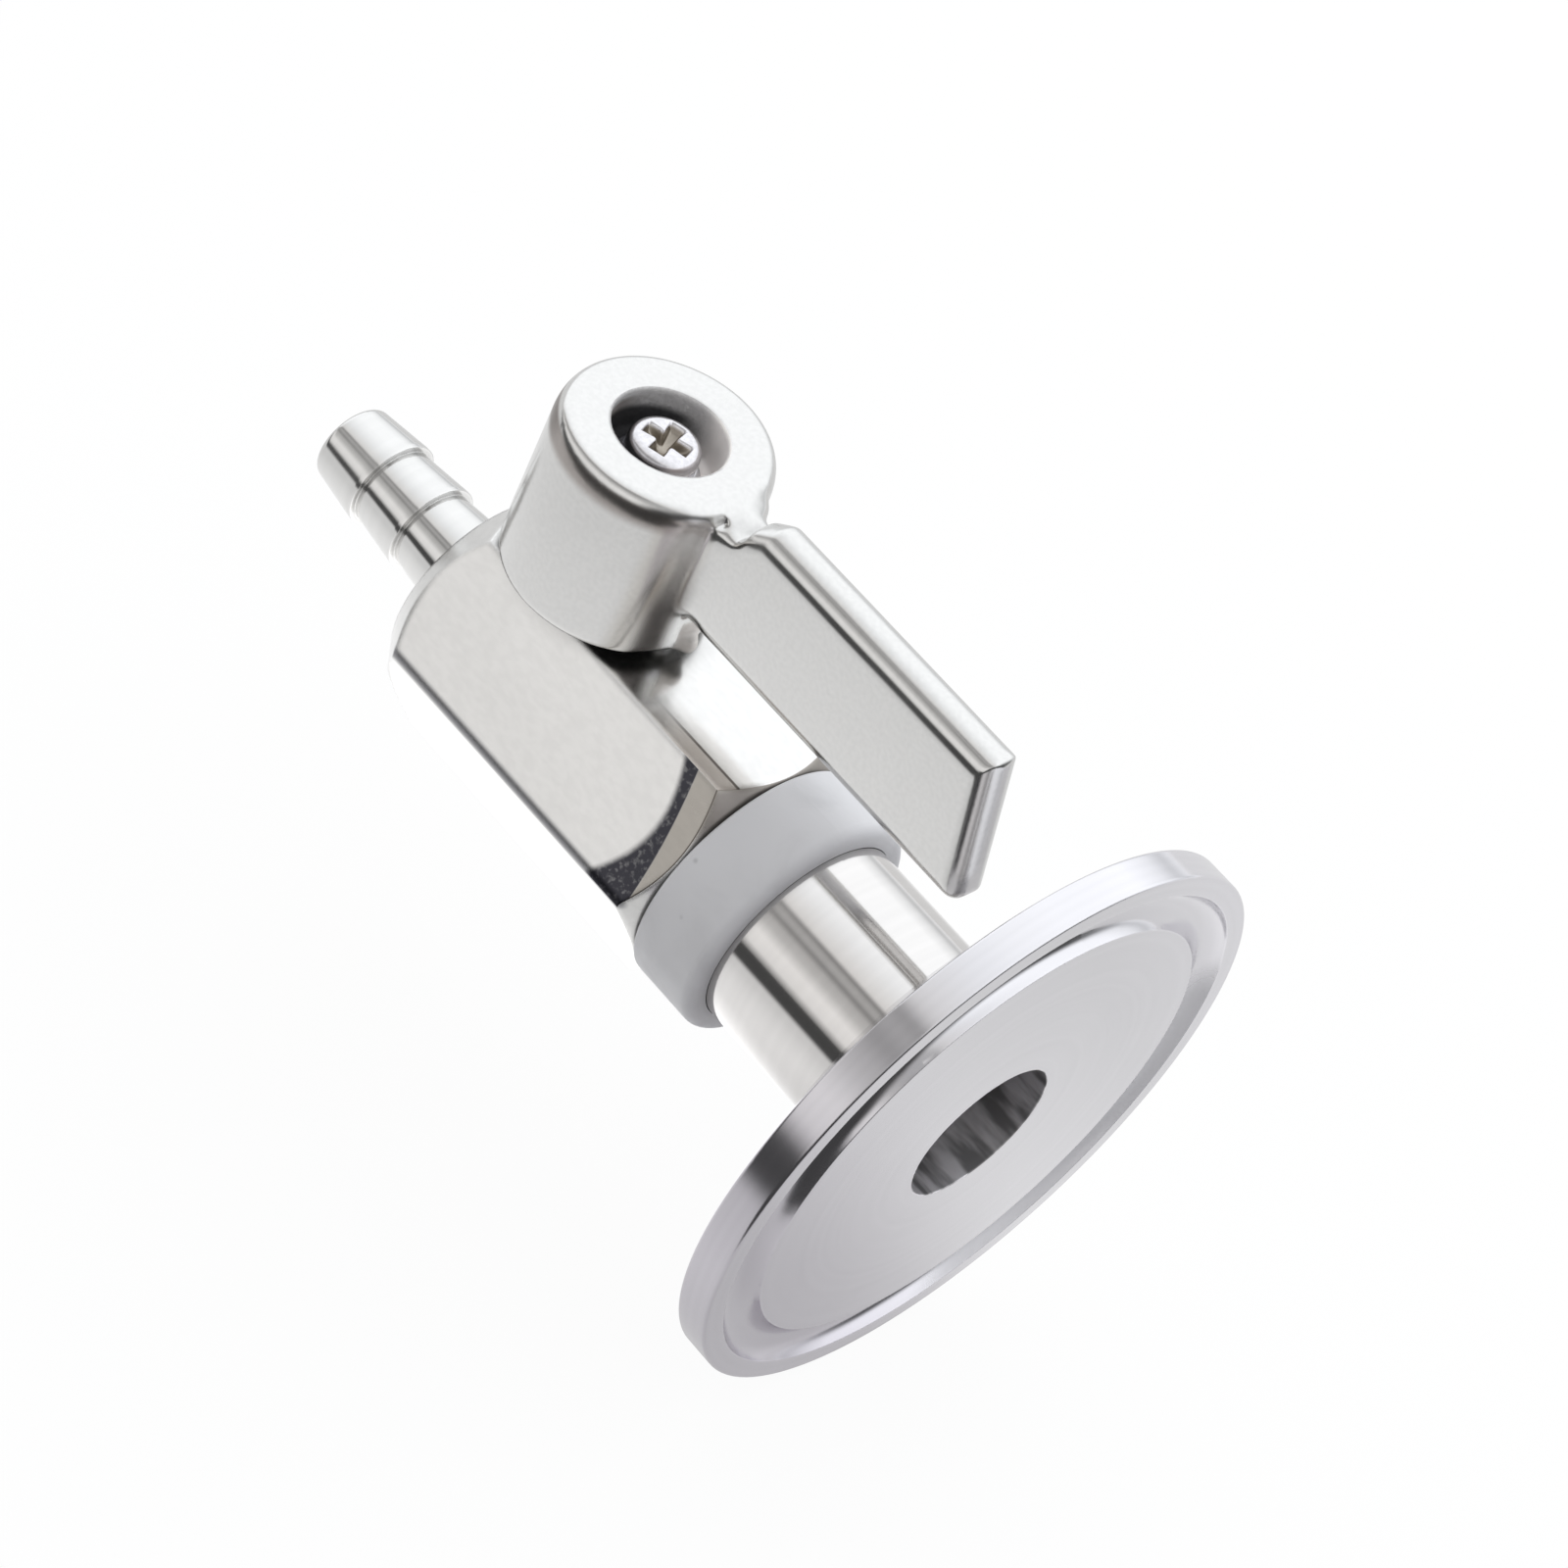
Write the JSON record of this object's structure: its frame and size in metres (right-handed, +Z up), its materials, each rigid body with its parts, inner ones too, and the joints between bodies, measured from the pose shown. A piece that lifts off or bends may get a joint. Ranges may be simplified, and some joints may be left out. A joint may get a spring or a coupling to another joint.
{
  "type": "mini ball valve with clamp ferrule and hose tail",
  "caption": "Small stainless quarter-turn ball valve: hexagon body with an upright lever, a barbed hose tail at one end and a clamp ferrule disc on a short neck at the other.",
  "frame": {"origin": "centre of the ferrule's bore at its sealing face", "axes": "+X along the flow axis out of the ferrule's face, +Z up the stem towards the lever, lever along +X when open"},
  "size_m": [0.0748, 0.0506, 0.0526],
  "materials": {
    "ferrule_steel": "fine satin, polished rim",
    "neck_steel": "polished",
    "weld_steel": "polished weld",
    "body_steel": "satin flats, turned chamfers",
    "tail_steel": "polished",
    "handle_steel": "polished casting",
    "ball_steel": "mirror",
    "stem_steel": "turned",
    "pin_steel": "ground",
    "screw_steel": "bright",
    "washer_steel": "dull",
    "collar_plastic": "matte moulded",
    "seat_plastic": "matte",
    "tape_plastic": "matte",
    "seal_rubber": "matte"
  },
  "bodies": {
    "base": {"valve_body": "body_steel", "ferrule_flange": "ferrule_steel", "ferrule_neck": "neck_steel", "neck_weld": "weld_steel", "thread_tape": "tape_plastic", "sealing_collar": "collar_plastic", "stop_pin": "pin_steel", "seat_tail_side": "seat_plastic", "seat_ferrule_side": "seat_plastic", "hose_tail": "tail_steel", "tail_seal_ring": "seal_rubber", "thrust_washer": "seat_plastic"},
    "lever": {"handle": "handle_steel", "stem": "stem_steel", "stem_seal_lower": "seal_rubber", "stem_seal_upper": "seal_rubber", "handle_screw": "screw_steel", "flat_washer": "washer_steel", "spring_washer": "washer_steel"},
    "ball": {"ball": "ball_steel"}
  },
  "joints": [
    {"name": "lever_turn", "type": "hinge", "parent": "base", "child": "lever", "pos_m": [-0.04845, 0, 0], "axis": [0, 0, 1], "range_deg": [-90, 0]},
    {"name": "ball_turn", "type": "hinge", "parent": "base", "child": "ball", "pos_m": [-0.04845, 0, 0], "axis": [0, 0, 1], "range_deg": [-90, 0]}
  ],
  "couplings": [
    {"joint": "ball_turn", "follows": "lever_turn", "ratio": 1}
  ]
}
